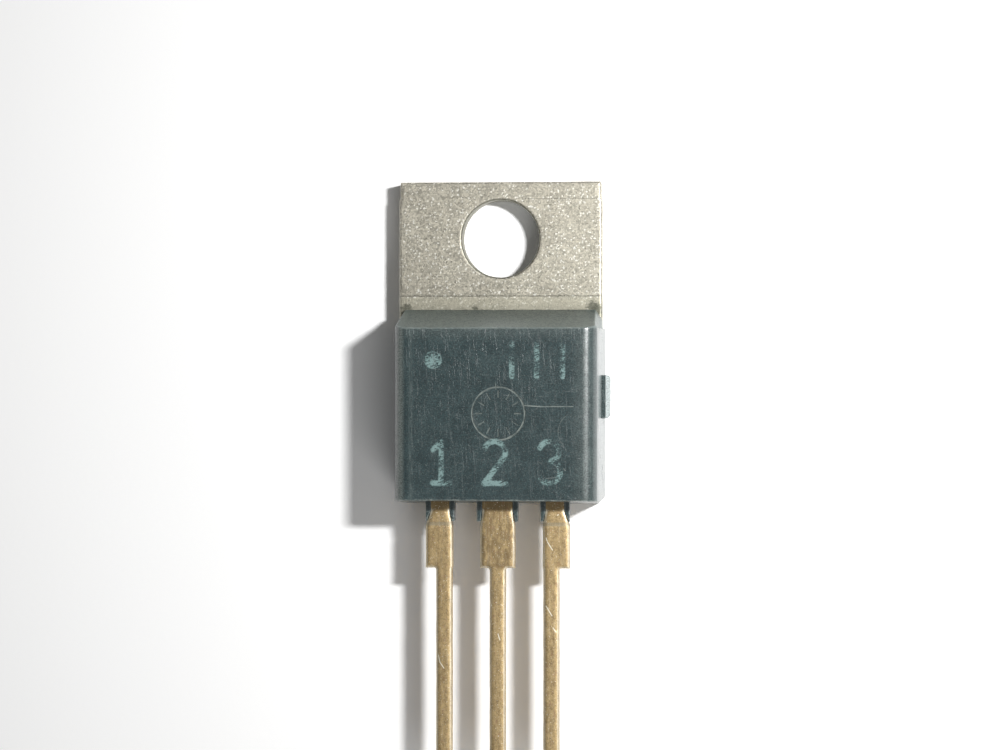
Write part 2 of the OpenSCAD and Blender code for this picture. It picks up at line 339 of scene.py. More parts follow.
class Recipe:
    """A procedural material or world, written step by step as a node tree."""

    def __init__(self, owner: bpy.types.Material | bpy.types.World, colour: Colour = WHITE) -> None:
        """Starts with an empty tree.

        Args:
            owner: The material or world that the tree belongs to.
            colour: The colour that the others are laid over.
        """
        self.owner = owner
        self.colour = colour
        owner.use_nodes = True
        self.tree = owner.node_tree
        self.tree.nodes.clear()

    @classmethod
    def named(cls, name: str, colour: Colour = WHITE) -> "Recipe":
        """Starts a new material with its lowest colour."""
        return cls(bpy.data.materials.new(name), colour)

    def node(self, kind: str, inputs: dict | None = None, **settings) -> bpy.types.Node:
        """Adds a node.

        Args:
            kind: Blender's name of the node's type, after ShaderNode.
            inputs: What goes into its inputs, by their names or numbers: sockets, numbers or tuples.
            **settings: The node's own settings.

        Returns:
            The node.
        """
        made = self.tree.nodes.new("ShaderNode" + kind)
        for name, value in settings.items():
            setattr(made, name, value)
        for name, value in (inputs or {}).items():
            socket = made.inputs[name]
            if isinstance(value, Socket):
                self.tree.links.new(value, socket)
            else:
                socket.default_value = (*value, 1.0) if socket.type == "RGBA" else value
        return made

    def place(self, size: Place = (1, 1, 1), turn: float = 0.0, seed: float = 0.0) -> Socket:
        """Gives the place on the object in pattern sizes, after a turn in degrees and a shift."""
        inputs = {
            "Vector": self.node("TexCoord").outputs["Object"],
            "Location": (seed * MM, 0, 0),
            "Rotation": (0, 0, math.radians(turn)),
            "Scale": tuple(s * MM for s in size),
        }
        return self.node("Mapping", inputs, vector_type="TEXTURE").outputs["Vector"]

    @cached_property
    def axes(self) -> tuple[Socket, Socket, Socket]:
        """Gives X, Y and Z on the object, in millimetres."""
        split = self.node("SeparateXYZ", {0: self.place()})
        return split.outputs[0], split.outputs[1], split.outputs[2]

    def noise(self, clouds: Clouds) -> Socket:
        """Gives the noise of some clouds.

        Args:
            clouds: The clouds.

        Returns:
            The noise, with its middle at 0.5.
        """
        size = clouds.size if isinstance(clouds.size, tuple) else (clouds.size,) * 3
        vector = self.place(size, clouds.turn, clouds.seed)
        inputs = {"Vector": vector, "Scale": 1.0, "Detail": clouds.detail}
        return self.node("TexNoise", inputs).outputs["Fac"]

    def patches(self, clouds: Clouds, noise: Socket | None = None) -> Socket:
        """Gives the share of the surface that some clouds take, from their noise if it is there already."""
        noise = self.noise(clouds) if noise is None else noise
        return self.times(self.rise(noise, *clouds.span), clouds.share)

    def grains(self, size: float) -> tuple[Socket, Socket]:
        """Gives two random numbers that differ from grain to grain.

        Args:
            size: Size of the grains.

        Returns:
            The numbers, from 0 to 1.
        """
        cells = self.node("TexVoronoi", {"Vector": self.place((size,) * 3), "Scale": 1.0})
        parts = self.node("SeparateColor", {0: cells.outputs["Color"]})
        return parts.outputs[0], parts.outputs[1]

    def calc(self, operation: str, *numbers) -> Socket:
        """Works something out by an operation of the Math node."""
        return self.node("Math", dict(enumerate(numbers)), operation=operation).outputs[0]

    def linear(self, value, factor, base) -> Socket:
        """Multiplies a number by a factor and adds it to a base."""
        return self.calc("MULTIPLY_ADD", value, factor, base)

    def less(self, value, taken) -> Socket:
        """Takes one number from another."""
        return self.calc("SUBTRACT", value, taken)

    def gap(self, value, other) -> Socket:
        """Gives how far apart two numbers are."""
        return self.calc("ABSOLUTE", self.less(value, other))

    def rise(self, value, low: float, high: float) -> Socket:
        """Turns a number into a share that rises smoothly.

        Args:
            value: The number or socket.
            low: Where the share is 0.
            high: Where the share is 1; under low, the share falls.

        Returns:
            The share.
        """
        rising = low < high
        inputs = {
            "Value": value, "From Min": min(low, high), "From Max": max(low, high),
            "To Min": 0.0 if rising else 1.0, "To Max": 1.0 if rising else 0.0,
        }
        return self.node("MapRange", inputs, interpolation_type="SMOOTHSTEP").outputs["Result"]

    def blend(self, share, under, over) -> Socket:
        """Gives a mix of two colours, by the share of the second one."""
        return self.node("Mix", {"Factor": share, 6: under, 7: over}, data_type="RGBA").outputs[2]

    def lay(self, colour, *shares) -> None:
        """Lays a colour over the one so far, by the product of some shares."""
        self.colour = self.blend(self.times(*shares), self.colour, colour)

    def dim(self, factor) -> None:
        """Makes the colour so far lighter or darker by a factor."""
        scaled = self.node("VectorMath", {0: self.colour, "Scale": factor}, operation="SCALE")
        self.colour = scaled.outputs[0]

    def layer(self, name: str) -> Socket:
        """Gives the number that a mesh layer holds."""
        return self.node("Attribute", attribute_name=name).outputs["Fac"]

    def times(self, *shares) -> Socket:
        """Multiplies shares with each other."""
        product = shares[0]
        for share in shares[1:]:
            product = self.calc("MULTIPLY", product, share)
        return product

    def most(self, *shares) -> Socket:
        """Gives the largest of some shares."""
        largest = shares[0]
        for share in shares[1:]:
            largest = self.calc("MAXIMUM", largest, share)
        return largest

    def line(self, start: Point, end: Point) -> Socket:
        """Gives the distance to a straight line on the front.

        Args:
            start: Start of the line, in X and Y.
            end: End of the line, in X and Y.

        Returns:
            The distance, in millimetres.
        """
        x, y, _ = self.axes
        run = (end[0] - start[0], end[1] - start[1])
        square = run[0] ** 2 + run[1] ** 2
        from_x, from_y = self.less(x, start[0]), self.less(y, start[1])
        along = self.linear(from_x, run[0] / square, self.times(from_y, run[1] / square))
        share = self.calc("MINIMUM", self.calc("MAXIMUM", along, 0.0), 1.0)
        return self.length(self.linear(share, -run[0], from_x), self.linear(share, -run[1], from_y))

    def length(self, run_x: Socket, run_y: Socket) -> Socket:
        """Gives the length of a way from its parts along X and Y."""
        return self.calc("SQRT", self.linear(run_x, run_x, self.times(run_y, run_y)))

    def from_middle(self, centre: Point) -> Socket:
        """Gives the distance to an axis along Z through a centre."""
        x, y, _ = self.axes
        return self.length(self.less(x, centre[0]), self.less(y, centre[1]))

    def relief(self, *layers: tuple[Socket, float]) -> Socket:
        """Makes a relief of several layers.

        Args:
            *layers: Height from 0 to 1 and full depth in millimetres of each layer, from the lowest.

        Returns:
            The surface direction.
        """
        under = {}
        for height, depth in layers:
            bump = self.node("Bump", {"Distance": depth * MM, "Height": height, **under})
            under = {"Normal": bump.outputs["Normal"]}
        return under["Normal"]

    def finish(self, roughness, relief: Socket, **fixed: float) -> bpy.types.Material:
        """Ends the recipe with its shader.

        Args:
            roughness: Roughness or socket.
            relief: The surface direction.
            **fixed: Fixed numbers for other sockets, with _ for the spaces in their names.

        Returns:
            The material.
        """
        inputs = {"Base Color": self.colour, "Roughness": roughness, "Normal": relief}
        inputs |= {name.replace("_", " "): value for name, value in fixed.items()}
        shader = self.node("BsdfPrincipled", inputs)
        self.node("OutputMaterial", {"Surface": shader.outputs[0]})
        return self.owner


@dataclass(frozen=True)
class PressedLine:
    """A thin line that the press left across the tab."""

    y: float
    start_x: float
    strength: float


@dataclass(frozen=True)
class PlateFinish:
    """Dull and grainy nickel plate of the tab, with painted glints on its grains and painted shade on the
    rim of its hole.
    """

    base: Colour = (0.58, 0.55, 0.46)
    dark: Colour = (0.50, 0.47, 0.39)
    pale_wear_and_glint: Colour = (0.92, 0.90, 0.82)
    warm: Colour = (0.53, 0.51, 0.40)
    stain_and_shade: Colour = (0.13, 0.135, 0.105)
    grain: float = 0.07
    grain_tone: Point = (0.44, 0.76)
    # Span of the grains that carry painted glints.
    glint_grains: Point = (0.91, 0.95)
    dark_grains: Point = (0.09, 0.04)
    front_sparkle: Point = (0.6, 0.3)
    front_z: Point = (1.1, 1.25)
    cloud: Clouds = Clouds((1.6, 0.9, 1.3), 5.0, span=(0.3, 0.72))
    fine: Clouds = Clouds(0.045, 2.0, 3.0, (0.4, 0.65), 0.5)
    rub: Clouds = Clouds((1.3, 0.035, 0.3), 3.0, 7.0, share=0.12)
    rub_base: float = 0.94
    worn: Clouds = Clouds(0.3, 3.0, 5.0, (0.45, 0.65), 0.3)
    strip_fade: float = 0.15
    darker_by_body_y: Point = (-2.75, -3.35)
    line_z: Point = (1.12, 1.2)
    line_width: Point = (0.042, 0.012)
    line_fade: float = 0.6
    # Painted shade on the rolled rim of the hole: where it ends and where it is full, out from the hole's
    # edge.
    rim: Point = (0.11, 0.03)
    edge: Point = (0.11, 0.03)
    roughness: Point = (0.12, 0.44)

    def ground(self, r: Recipe, grain: Socket, sparkle: Socket, fine: Socket, rub: Socket) -> None:
        """Mixes the plate's grainy colour, with painted glints on some grains.

        Args:
            r: The recipe.
            grain: Random number of each grain.
            sparkle: Another random number of each grain.
            fine: Fine noise.
            rub: Streaks along X.
        """
        r.lay(self.base, r.patches(self.cloud))
        r.lay(self.base, r.patches(self.fine, fine))
        r.dim(r.linear(grain, *self.grain_tone))
        _, _, z = r.axes
        # Some grains carry painted glints, stronger on the front than on the sides.
        flat = r.linear(r.rise(z, *self.front_z), *self.front_sparkle)
        r.lay(self.pale_wear_and_glint, r.rise(sparkle, *self.glint_grains), flat)
        r.lay(self.stain_and_shade, r.rise(sparkle, *self.dark_grains), 0.3)
        r.dim(r.calc("ADD", r.patches(self.rub, rub), self.rub_base))

    def draw_lines(self, r: Recipe, lines: tuple[PressedLine, ...], fine: Socket) -> None:
        """Draws the pressed lines.

        Args:
            r: The recipe.
            lines: The lines.
            fine: Fine noise.
        """
        x, y, z = r.axes
        for line in lines:
            waver = r.linear(r.noise(Clouds(0.7, 2.0, line.y)), 0.03, y)
            near = r.rise(r.gap(waver, line.y + 0.015), *self.line_width)
            there = r.times(r.rise(x, line.start_x, line.start_x + self.line_fade), r.rise(z, *self.line_z))
            r.lay(self.stain_and_shade, near, there, r.rise(fine, 0.1, 0.45), line.strength)

    def material(
        self, lines: tuple[PressedLine, ...], stains: tuple[Stain, ...], hole: float
    ) -> bpy.types.Material:
        """Makes the material.

        Args:
            lines: The pressed lines.
            stains: Middle and radius of each dark stain.
            hole: Radius of the mounting hole.

        Returns:
            The material.
        """
        r = Recipe.named("dull nickel plate", self.dark)
        grain, sparkle = r.grains(self.grain)
        fine = r.noise(self.fine)
        rub = r.noise(self.rub)
        self.ground(r, grain, sparkle, fine, rub)
        _, y, _ = r.axes
        r.lay(self.warm, r.rise(y, lines[-1].y, lines[-1].y - self.strip_fade), 0.5)
        # Darker towards the body.
        r.lay(self.stain_and_shade, r.rise(r.linear(fine, 0.5, y), *self.darker_by_body_y), 0.3)
        self.draw_lines(r, lines, fine)
        for middle, radius in stains:
            spread = r.noise(Clouds((0.16, 0.12, 0.16), 5.0, middle[0]))
            ragged = r.linear(spread, 2.4 * radius, r.from_middle(middle))
            r.lay(self.stain_and_shade, r.rise(ragged, 2.4 * radius, 1.7 * radius), r.rise(fine, 0.1, 0.5), 0.8)
        # Painted shade on the rolled rim of the hole.
        rim = r.rise(r.from_middle((0, 0)), *(hole + off for off in self.rim))
        r.lay(self.stain_and_shade, rim, 0.6)
        r.lay(self.pale_wear_and_glint, r.rise(r.layer("edge"), *self.edge), r.patches(self.worn))
        relief = r.relief((grain, 0.0026), (fine, 0.0032), (rub, 0.0016))
        return r.finish(r.linear(grain, *self.roughness), relief, Metallic=1.0)


@dataclass(frozen=True)
class MouldFinish:
    """Dark slate moulding compound, semi-gloss, dusty and finely scratched, with painted sheen, a painted
    highlight and a painted reflection along its long edges.
    """

    base: Colour = (0.015, 0.034, 0.037)
    light: Colour = (0.030, 0.055, 0.058)
    dust: Colour = (0.17, 0.21, 0.20)
    # Colour of wear, and also of the painted sheen, highlight and reflection along the long edges.
    worn: Colour = (0.35, 0.39, 0.36)
    ink: Colour = (0.21, 0.335, 0.325)
    broken: Colour = (0.60, 0.67, 0.66)
    seam: Colour = (0.32, 0.36, 0.36)
    roughness: Point = (0.16, 0.23)
    wall_x: Point = (4.72, 4.8)
    wall_gloss: float = 0.5
    gloss: float = 0.8
    front_z: Point = (4.30, 4.35)
    slope_y: float = -4.29
    slope_z: Point = (1.2, 1.3)
    torn_x: Point = (5.02, 5.06)
    ring_width: Point = (0.048, 0.03)
    groove_z: Point = (4.422, 4.402)
    scratch_width: Point = (0.036, 0.010)
    streak_x: float = -3.93
    streak_width: Point = (0.16, 0.02)
    edge: Point = (0.17, 0.05)
    # Where each band of painted light along the long edges starts and ends along X, and its strength:
    # painted sheen beside the right highlight, the painted highlight itself, and a painted reflection on the
    # left edge. The first one runs on past the body.
    sheen_and_rub_strips: tuple[tuple[Point, Point, float], ...] = (
        ((3.4, 4.1), (6.0, 5.5), 0.11), ((4.02, 4.14), (4.40, 4.30), 0.22),
        ((-4.18, -4.46), (-4.72, -4.55), 0.46),
    )
    mottle: Clouds = Clouds(0.9, 6.0)
    fine: Clouds = Clouds(0.06, 3.0, 2.0, (0.28, 0.72))
    fine_tone: Point = (1.1, 0.42)
    specks: Clouds = Clouds(0.045, 2.0, 9.0, (0.57, 0.72), 0.55)
    streaks: Clouds = Clouds((0.05, 0.5, 0.5), 4.0, 41.0, (0.3, 0.65), 0.22)
    chafed: Clouds = Clouds(0.12, 4.0, 6.0, (0.4, 0.6))
    breaks: Clouds = Clouds(0.25, 3.0, 31.0, (0.3, 0.6))
    thin_ink: Clouds = Clouds(0.07, 4.0, 12.0)
    ink_patches: Clouds = Clouds(0.8, 3.0, 14.0)
    scraped_ink: Clouds = Clouds((0.5, 0.05, 0.5), 3.0, 17.0, turn=20.0)
    hairs: tuple[Clouds, ...] = (
        Clouds((0.02, 1.2, 1.0), 1.0, 1.0, (0.67, 0.72), turn=4.0),
        Clouds((0.02, 0.9, 1.0), 1.0, 2.0, (0.74, 0.79), turn=-38.0),
        Clouds((0.02, 1.1, 1.0), 1.0, 4.0, (0.73, 0.78), turn=86.0),
        Clouds((0.02, 0.8, 1.0), 1.0, 8.0, (0.75, 0.80), turn=52.0),
    )

    def rubbed_and_painted_sheen(self, r: Recipe, front: Socket, fine: Socket) -> Socket:
        """Draws the paler bands: painted sheen, a painted highlight and a painted reflection along the long
        edges, and a band of rubbing under the slope.

        Args:
            r: The recipe that they are drawn in.
            front: Share of the front face.
            fine: Fine noise.

        Returns:
            Their share, from 0 to 1.
        """
        x, y, _ = r.axes
        sheen_and_rub_strips = [r.times(r.rise(x, *start), r.rise(x, *end), share) for start, end, share in self.sheen_and_rub_strips]
        sheen_and_rub_strips.append(r.times(r.rise(y, self.slope_y - 0.8, self.slope_y), front, 0.12))
        return r.times(r.most(*sheen_and_rub_strips), r.linear(r.rise(fine, 0.3, 0.7), 0.9, 0.45))

    def scars(self, r: Recipe, front: Socket, ring: Point, radius: float, scratches: list) -> Socket:
        """Draws the ring, its ticks and the long scratches.

        Args:
            r: The recipe that they are drawn in.
            front: Share of the front face.
            ring: Middle of the ejector ring.
            radius: Its radius.
            scratches: Start, end and strength of each scratch.

        Returns:
            Their share, from 0 to 1.
        """
        _, _, z = r.axes
        away = r.from_middle(ring)
        circle = r.rise(r.gap(away, radius), *self.ring_width)
        ticks = r.times(r.rise(z, *self.groove_z), r.rise(away, radius, radius - 0.1))
        cuts = [r.times(r.rise(r.line(a, b), *self.scratch_width), share) for a, b, share in scratches]
        uneven = r.linear(r.patches(self.breaks), 0.6, 0.4)
        return r.times(r.most(r.times(circle, 0.8), r.times(ticks, 0.5), *cuts), uneven, front)

    def printed(self, r: Recipe, front: Socket, hair: Socket) -> Socket:
        """Draws the worn ink.

        Args:
            r: The recipe that it is drawn in.
            front: Share of the front face.
            hair: Share of the hairlines, which have cut through the ink.

        Returns:
            The ink's share, from 0 to 1.
        """
        thin = r.noise(self.thin_ink)
        inked = r.rise(r.linear(thin, 0.16, r.layer("ink")), 0.11, 0.05)
        hold = r.linear(thin, 0.7, r.times(r.noise(self.scraped_ink), 0.5))
        hold = r.linear(r.noise(self.ink_patches), 0.9, hold)
        return r.times(inked, r.rise(hold, 0.94, 1.18), r.less(1.0, r.times(hair, 0.7)), front)

    def dusty(self, r: Recipe, fine: Socket, chafed: Socket) -> Socket:
        """Gives how much dust lies on the slope, most of it at its foot.

        Args:
            r: The recipe.
            fine: Fine noise.
            chafed: Coarser noise.

        Returns:
            The dust's share.
        """
        foot = r.linear(r.rise(r.axes[1], self.slope_y + 0.75, self.slope_y), 0.4, -0.08)
        speckled = r.linear(r.rise(fine, 0.35, 0.65), 0.6, foot)
        return r.linear(r.patches(self.chafed, chafed), 0.4, speckled)

    def material(self, ring: Point, ring_radius: float, scratches: list) -> bpy.types.Material:
        """Makes the material.

        Args:
            ring: Middle of the ejector ring.
            ring_radius: Its radius.
            scratches: Start, end and strength of each scratch on the front.

        Returns:
            The material.
        """
        r = Recipe.named("slate moulding compound", self.base)
        x, y, z = r.axes
        front = r.rise(z, *self.front_z)
        fine = r.noise(self.fine)
        r.lay(self.light, r.patches(self.mottle))
        r.dim(r.linear(r.patches(self.fine, fine), *self.fine_tone))
        r.lay(self.dust, r.patches(self.specks))
        # A paler upright streak near the left edge of the front.
        near_streak = r.rise(r.gap(x, self.streak_x), *self.streak_width)
        r.lay(self.dust, near_streak, r.patches(self.streaks), front)
        hair = r.most(*(r.patches(lines) for lines in self.hairs))
        r.lay(self.dust, hair, 0.28)
        # Painted sheen, highlight and reflection along the long edges, and rubbing under the slope.
        r.lay(self.worn, self.rubbed_and_painted_sheen(r, front, fine))
        scar = self.scars(r, front, ring, ring_radius, scratches)
        r.lay(self.worn, scar, 0.75)
        chafed = r.noise(self.chafed)
        edge = r.rise(r.linear(chafed, 0.16, r.layer("edge")), *self.edge)
        r.lay(self.worn, edge, r.linear(r.rise(fine, 0.7, 0.35), 0.7, 0.3))
        inked = self.printed(r, front, hair)
        r.lay(self.ink, inked, 0.9)
        torn = r.rise(x, *self.torn_x)
        r.lay(r.blend(r.rise(fine, 0.32, 0.60), self.seam, self.broken), torn)
        slope = r.times(r.rise(y, self.slope_y - 0.06, self.slope_y), r.rise(z, *self.slope_z))
        r.lay(self.dust, slope, self.dusty(r, fine, chafed))
        rough = r.linear(r.noise(Clouds(0.3, 4.0, 11.0)), *self.roughness)
        rough = r.times(rough, r.linear(r.rise(x, *self.wall_x), self.wall_gloss - 1, 1.0))
        duller = ((slope, 0.36), (inked, 0.55), (torn, 0.7), (hair, 0.45))
        rough = r.most(rough, *(r.times(share, level) for share, level in duller))
        clear = r.less(1.0, r.most(hair, scar))
        relief = r.relief((fine, 0.0016), (r.noise(Clouds(0.35, 2.0, 21.0)), 0.003), (clear, 0.0015))
        return r.finish(rough, relief, IOR=1.6, Specular_IOR_Level=self.gloss)


@dataclass(frozen=True)
class LeadFinish:
    """Tarnished and mottled plating of the leads, with painted shadow of the body on the necks, painted
    glints and a painted highlight on the polished edges.
    """

    base: Colour = (0.63, 0.475, 0.25)
    tarnish_and_shadow: Colour = (0.29, 0.21, 0.11)
    pale_wear_and_glint: Colour = (0.99, 0.94, 0.78)
    # Colour of the darker band along the crease.
    dull: Colour = (0.36, 0.33, 0.25)
    ruddy: Colour = (0.40, 0.22, 0.15)
    roughness: Point = (-0.16, 0.63)
    cloud: Clouds = Clouds((0.15, 0.4, 0.15), 8.0, span=(0.22, 0.72))
    fine: Clouds = Clouds((0.045, 0.06, 0.045), 4.0, 2.0, (0.40, 0.60), 0.55)
    spots: Clouds = Clouds((0.08, 0.1, 0.08), 4.0, 5.0, (0.5, 0.66))
    copper: Clouds = Clouds((0.16, 0.3, 0.16), 4.0, 17.0, (0.56, 0.7), 0.35)
    glints: Clouds = Clouds(0.055, 2.0, 8.0, (0.64, 0.72), 0.8)
    drawn: Clouds = Clouds((0.025, 1.6, 0.025), 2.0, 4.0, (0.6, 0.75), 0.3)
    lumps: Clouds = Clouds(0.25, 3.0, 15.0)
    neck_shadow_y: Point = (-12.99, -12.92)
    shoulder_y: Point = (-15.75, -15.5)
    middle_x: Point = (1.1, 0.7)
    outer_x: Point = (1.0, 1.3)
    crease_width: Point = (0.12, 0.05)
    scratch_width: Point = (0.035, 0.01)
    edge: Point = (0.13, 0.04)
    scratches: tuple[tuple[Point, Point], ...] = (
        ((2.365, -14.368), (2.601, -14.744)), ((2.30, -14.18), (2.35, -14.32)),
        ((2.84, -13.10), (2.88, -13.08)), ((-2.80, -19.76), (-2.73, -20.09)),
        ((-2.73, -20.09), (-2.54, -20.37)), ((-0.37, -17.13), (-0.28, -17.41)),
        ((0.03, -18.73), (0.12, -19.01)), ((2.30, -17.39), (2.58, -17.85)),
        ((2.63, -18.42), (2.77, -18.61)),
    )

    def tarnished_and_shaded(self, r: Recipe, cloud: Socket, fine: Socket, spots: Socket) -> None:
        """Mixes the mottled colour, darkest on the middle shoulder, with painted shadow of the body on the
        necks.

        Args:
            r: The recipe.
            cloud: Coarse noise.
            fine: Fine noise.
            spots: Share of the dark spots.
        """
        x, y, _ = r.axes
        r.lay(self.base, r.patches(self.cloud, cloud))
        r.lay(self.base, r.patches(self.fine, fine))
        r.lay(self.tarnish_and_shadow, spots, 0.5)
        # Painted shadow of the body on the necks.
        r.lay(self.tarnish_and_shadow, r.rise(y, *self.neck_shadow_y), 0.8)
        middle = r.times(r.rise(r.calc("ABSOLUTE", x), *self.middle_x), r.rise(y, *self.shoulder_y))
        r.lay(self.tarnish_and_shadow, middle, r.rise(cloud, 0.7, 0.4), 0.7)
        r.lay(self.ruddy, r.patches(self.copper))

    def material(self, crease_y: float) -> bpy.types.Material:
        """Makes the material.

        Args:
            crease_y: Where the crease and its darker band cross the leads.

        Returns:
            The material.
        """
        r = Recipe.named("tarnished lead plating", self.tarnish_and_shadow)
        x, y, _ = r.axes
        cloud, fine, drawn = r.noise(self.cloud), r.noise(self.fine), r.noise(self.drawn)
        spots = r.patches(self.spots)
        self.tarnished_and_shaded(r, cloud, fine, spots)
        cuts = [r.rise(r.line(start, end), *self.scratch_width) for start, end in self.scratches]
        # Polished edges: partly wear, partly a painted highlight. The glints are painted as well.
        polished = r.times(r.rise(r.layer("edge"), *self.edge), r.rise(fine, 0.2, 0.45), 0.75)
        bright = r.most(r.patches(self.glints), r.patches(self.drawn, drawn), polished, *cuts)
        r.lay(self.pale_wear_and_glint, bright)
        # A darker band across the outer leads along the crease.
        aside = r.rise(r.calc("ABSOLUTE", x), *self.outer_x)
        band = r.times(r.rise(r.gap(y, crease_y), *self.crease_width), r.rise(fine, 0.2, 0.5), aside)
        r.lay(self.dull, band, 0.6)
        rough = r.linear(spots, 0.08, r.linear(cloud, *self.roughness))
        relief = r.relief((fine, 0.0035), (drawn, 0.0012), (r.noise(self.lumps), 0.006))
        return r.finish(rough, relief, Metallic=1.0)


@dataclass(frozen=True)
class HiddenFinish:
    """Finish of a piece that the plastic seals in."""

    name: str
    light: Colour
    dark: Colour
    metallic: float
    roughness: float
    grain: float = 0.08

    def material(self) -> bpy.types.Material:
        """Makes the material.

        Returns:
            The material.
        """
        r = Recipe.named(self.name, self.dark)
        grain = r.noise(Clouds(self.grain, 4.0))
        r.lay(self.light, r.patches(Clouds(6 * self.grain, 3.0, 4.0)))
        rough = r.linear(grain, 0.2, self.roughness - 0.1)
        return r.finish(rough, r.relief((grain, 0.002)), Metallic=self.metallic)


def put_in_place(piece: bpy.types.Object, node: str, slot: Slot, finish: bpy.types.Material) -> None:
    """Gives a piece its finish and its place in the frame.

    Args:
        piece: The piece.
        node: The CAD node that it replaces.
        slot: Its material slot, which is not used.
        finish: Its material.
    """
    piece.data.materials.append(finish)
    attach(piece, BODY)
    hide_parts(node)


@dataclass
class Tab:
    """The punched heat-sink tab with its mounting hole and the pad that runs on under the plastic."""

    node: str = "heat_sink_tab"
    strip_step: float = 0.05
    strip_from: float = 1.90
    shoulder_y: float = -4.29
    pad_step: float = 0.52
    notch_depth: float = 0.45
    notch_length: float = 1.0
    hole_steps: int = 96
    rim: float = 0.05
    roll: float = 0.1
    burr: float = 0.025
    corner: float = 0.06
    cell: float = 0.13
    line_depth: float = 0.004
    line_half: float = 0.04
    lines: tuple[PressedLine, ...] = (PressedLine(1.9, 0.9, 0.35), PressedLine(-2.75, -6.0, 0.6))
    stains: tuple[Stain, ...] = (
        ((-4.5, -3.38), 0.3), ((4.42, -3.22), 0.3), ((4.66, -3.38), 0.3), ((-1.2, -3.36), 0.16),
    )
    uneven: Unevenness = Unevenness(wave=0.006, nick=0.03, seed=2.0)
    finish: PlateFinish = PlateFinish()

    def __post_init__(self) -> None:
        """Takes the outer sizes and the hole from the frame."""
        low, high = mm_box(self.node)
        self.half, self.top, self.thick = high
        self.pad_end = low.y
        mounts = {m["name"]: m for m in frame["record"]["mounts"]}
        self.hole = mounts["mounting_hole"]["dims"]["r_mm"]

    def outline(self) -> list[Point]:
        """Gives the outline of the tab and of the pad.

        Returns:
            The points, first down the right side and then up the left one.
        """
        strip = self.half - self.strip_step
        pad = self.half - self.pad_step
        neck = pad - self.notch_depth
        notch_y = self.shoulder_y - self.notch_length
        right = [
            (strip, self.top), (strip, self.strip_from), (self.half, self.strip_from),
            (self.half, self.shoulder_y), (neck, self.shoulder_y), (neck, notch_y),
            (pad, notch_y), (pad, self.pad_end),
        ]
        return right + [(-x, y) for x, y in reversed(right)]

    def build(self) -> None:
        """Makes the tab and puts it into the frame."""
        hole = arc((0, 0), self.hole, 0, 360 - 360 / self.hole_steps, self.hole_steps - 1)
        form = Form.plate(self.outline(), [hole], 0.0, self.thick)
        free = self.shoulder_y - NEAR
        edges = EdgeMap(form.sharp_edges(lambda p: p.xy.length > self.hole + self.rim))
        upright = [
            e for e in form.sharp_edges(lambda p: p.y > self.top - NEAR)
            if abs(e.verts[0].co.z - e.verts[1].co.z) > 0.5 * self.thick
        ]
        form.round_edges(upright, self.corner, 3)
        front = [
            e for e in form.mesh.edges
            if all(v.co.z > self.thick - NEAR and v.co.y > free for v in e.verts)
            and e.calc_face_angle(0) > 1.0
        ]
        form.round_edges(front, self.roll, 5)
        form.round_edges(form.sharp_edges(lambda p: p.z < NEAR), self.burr, 2)
        for line in self.lines:
            for aside in (-self.line_half, 0, self.line_half):
                form.cut(1, line.y + aside)
        form.dice(self.cell)
        form.move(self.pressed_lines)
        form.move(self.uneven.rule(edges))
        form.mark("edge", edges.distance)
        finish = self.finish.material(self.lines, self.stains, self.hole)
        put_in_place(form.shown("tab"), self.node, Slot.TAB_PLATING, finish)

    def pressed_lines(self, place: Vector, outward: Vector) -> Vector:
        """Gives the way that the two shallow lines press a place on the front."""
        on_line = any(abs(place.y - line.y) < NEAR and place.x > line.start_x for line in self.lines)
        return Vector((0, 0, -self.line_depth if on_line and outward.z > 0.9 else 0))


@dataclass
class Marking:
    """Plain printed marks on the front: an index dot, three bars and the numbers of the pins."""

    stroke: float = 0.13
    digit_y: float = -10.53
    bar_half: float = 0.78
    bars: tuple[float, ...] = (0.80, 1.95, 3.15)
    top_y: float = -5.79
    dot: Point = (-2.88, -5.79)
    dot_radius: float = 0.42

    def __post_init__(self) -> None:
        """Lays all strokes out."""
        one = [[(-0.34, 0.55), (0.04, 0.93), (0.04, -1)], [(-0.36, -1), (0.44, -1)]]
        two = [arc((0, 0.46), 0.5, 165, -35, 12) + [(-0.5, -1), (0.54, -1)]]
        three = [arc((0, 0.5), 0.46, 160, -80, 12), arc((0, -0.46), 0.52, 80, -160, 12)]
        low, high = self.top_y - self.bar_half, self.top_y + self.bar_half
        self.strokes = [[(x, low), (x, high)] for x in self.bars]
        for middle, digit in zip((-PITCH, 0, PITCH), (one, two, three)):
            self.strokes += [[(x + middle, y + self.digit_y) for x, y in path] for path in digit]

    def distance(self, place: Vector) -> float:
        """Gives the distance from a place to the edge of the nearest mark.

        Args:
            place: Place on the front.

        Returns:
            The distance, below zero inside a mark.
        """
        x, y = place.x, place.y
        nearest = math.hypot(x - self.dot[0], y - self.dot[1]) - self.dot_radius
        for path in self.strokes:
            for (ax, ay), (bx, by) in zip(path, path[1:]):
                run_x, run_y = bx - ax, by - ay
                share = ((x - ax) * run_x + (y - ay) * run_y) / (run_x ** 2 + run_y ** 2)
                share = held(share)
                off = math.hypot(x - ax - share * run_x, y - ay - share * run_y)
                nearest = min(nearest, off - self.stroke)
        return nearest


